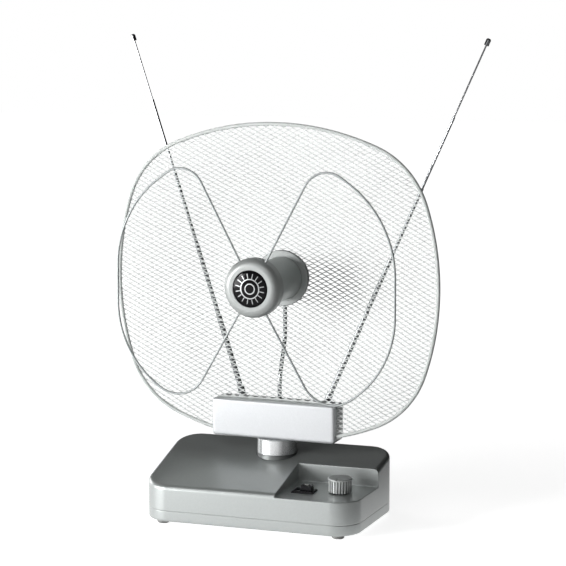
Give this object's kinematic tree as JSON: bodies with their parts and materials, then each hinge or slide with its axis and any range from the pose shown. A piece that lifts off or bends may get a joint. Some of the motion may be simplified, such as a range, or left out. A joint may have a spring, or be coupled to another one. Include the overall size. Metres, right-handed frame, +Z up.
{
  "type": "indoor tv antenna",
  "caption": "Indoor television antenna with a wire mesh reflector, wire loops and telescopic whips on a swivelling head over an amplifier base with gain knob and switch.",
  "frame": {"origin": "middle of the whole object in X and Y, on the plane that the rubber feet rest on", "axes": "+X to the right as seen by a user in front, +Y to the rear, +Z up"},
  "size_m": [0.3354, 0.1216, 0.4172],
  "materials": {
    "silver_plastic": "silver paint, satin",
    "pale_plastic": "pale silver paint, smooth",
    "grey_plastic": "dark grey, satin",
    "rubber_feet": "grey rubber",
    "steel_parts": "bright steel",
    "green_board": "circuit board",
    "black_plastic": "black, smooth",
    "chrome_parts": "polished plating",
    "white_plastic": "white insulator",
    "painted_rim": "pale grey paint",
    "painted_mesh": "pale silver paint"
  },
  "bodies": {
    "base": {"base_tray": "silver_plastic", "base_cover": "silver_plastic", "foot_front_left": "rubber_feet", "foot_front_right": "rubber_feet", "foot_rear_left": "rubber_feet", "foot_rear_right": "rubber_feet", "base_screw_front_left": "steel_parts", "base_screw_front_right": "steel_parts", "base_screw_rear_left": "steel_parts", "base_screw_rear_right": "steel_parts", "amplifier_board": "green_board", "gain_pot": "steel_parts", "switch_body": "steel_parts", "switch_frame": "black_plastic", "coax_socket": "chrome_parts", "coax_pin": "white_plastic", "power_socket": "black_plastic"},
    "knob": {"gain_shaft": "steel_parts", "gain_knob": "silver_plastic"},
    "slider": {"switch_slider": "black_plastic"},
    "head": {"neck": "silver_plastic", "neck_ring": "steel_parts", "neck_screw_left": "steel_parts", "neck_screw_right": "steel_parts", "box_front": "pale_plastic", "box_rear": "silver_plastic", "box_screw_left": "steel_parts", "box_screw_right": "steel_parts", "matching_board": "green_board", "support_post": "chrome_parts", "hub_rear_cap": "grey_plastic", "hub_flange": "silver_plastic", "hub_body": "grey_plastic", "hub_terminal": "white_plastic", "front_cap": "silver_plastic", "badge": "black_plastic", "hub_screw": "steel_parts", "reflector_rim": "painted_rim", "reflector_mesh": "painted_mesh", "left_loop": "steel_parts", "right_loop": "steel_parts", "left_hinge_screw": "steel_parts", "right_hinge_screw": "steel_parts"},
    "left_whip": {"left_knuckle": "chrome_parts", "left_tube": "chrome_parts"},
    "left_part_2": {"left_section_2": "chrome_parts"},
    "left_part_3": {"left_section_3": "chrome_parts"},
    "left_part_4": {"left_section_4": "chrome_parts"},
    "left_part_5": {"left_rod": "chrome_parts"},
    "right_whip": {"right_knuckle": "chrome_parts", "right_tube": "chrome_parts"},
    "right_part_2": {"right_section_2": "chrome_parts"},
    "right_part_3": {"right_section_3": "chrome_parts"},
    "right_part_4": {"right_section_4": "chrome_parts"},
    "right_part_5": {"right_rod": "chrome_parts"}
  },
  "joints": [
    {"name": "head_swivel", "type": "hinge", "parent": "base", "child": "head", "pos_m": [-0.01943, 0.02125, 0.05254], "axis": [0, 0, 1], "range_deg": [-87.5, 92.5]},
    {"name": "gain_turn", "type": "hinge", "parent": "base", "child": "knob", "pos_m": [0.05307, -0.02475, 0.0323], "axis": [0, 0, 1], "range_deg": [-150, 150]},
    {"name": "switch_slide", "type": "slide", "parent": "base", "child": "slider", "axis": [1, 0, 0], "range_m": [-0.004, 0]},
    {"name": "left_lean", "type": "hinge", "parent": "head", "child": "left_whip", "pos_m": [-0.05635, 0.03998, 0.09154], "axis": [0.0436, 0.999, 0], "range_deg": [-61.7, 16.3]},
    {"name": "left_pull_2", "type": "slide", "parent": "left_whip", "child": "left_part_2", "axis": [-0.3137, 0.0137, 0.9494], "range_m": [-0.06, 0]},
    {"name": "left_pull_3", "type": "slide", "parent": "left_part_2", "child": "left_part_3", "axis": [-0.3137, 0.0137, 0.9494], "range_m": [-0.06, 0]},
    {"name": "left_pull_4", "type": "slide", "parent": "left_part_3", "child": "left_part_4", "axis": [-0.3137, 0.0137, 0.9494], "range_m": [-0.06, 0]},
    {"name": "left_pull_5", "type": "slide", "parent": "left_part_4", "child": "left_part_5", "axis": [-0.3137, 0.0137, 0.9494], "range_m": [-0.048, 0.012]},
    {"name": "right_lean", "type": "hinge", "parent": "head", "child": "right_whip", "pos_m": [0.01898, 0.03669, 0.09154], "axis": [0.0436, 0.999, 0], "range_deg": [-22.2, 55.8]},
    {"name": "right_pull_2", "type": "slide", "parent": "right_whip", "child": "right_part_2", "axis": [0.4095, -0.0179, 0.9121], "range_m": [-0.06, 0]},
    {"name": "right_pull_3", "type": "slide", "parent": "right_part_2", "child": "right_part_3", "axis": [0.4095, -0.0179, 0.9121], "range_m": [-0.06, 0]},
    {"name": "right_pull_4", "type": "slide", "parent": "right_part_3", "child": "right_part_4", "axis": [0.4095, -0.0179, 0.9121], "range_m": [-0.06, 0]},
    {"name": "right_pull_5", "type": "slide", "parent": "right_part_4", "child": "right_part_5", "axis": [0.4095, -0.0179, 0.9121], "range_m": [-0.0595, 0.0005]}
  ]
}
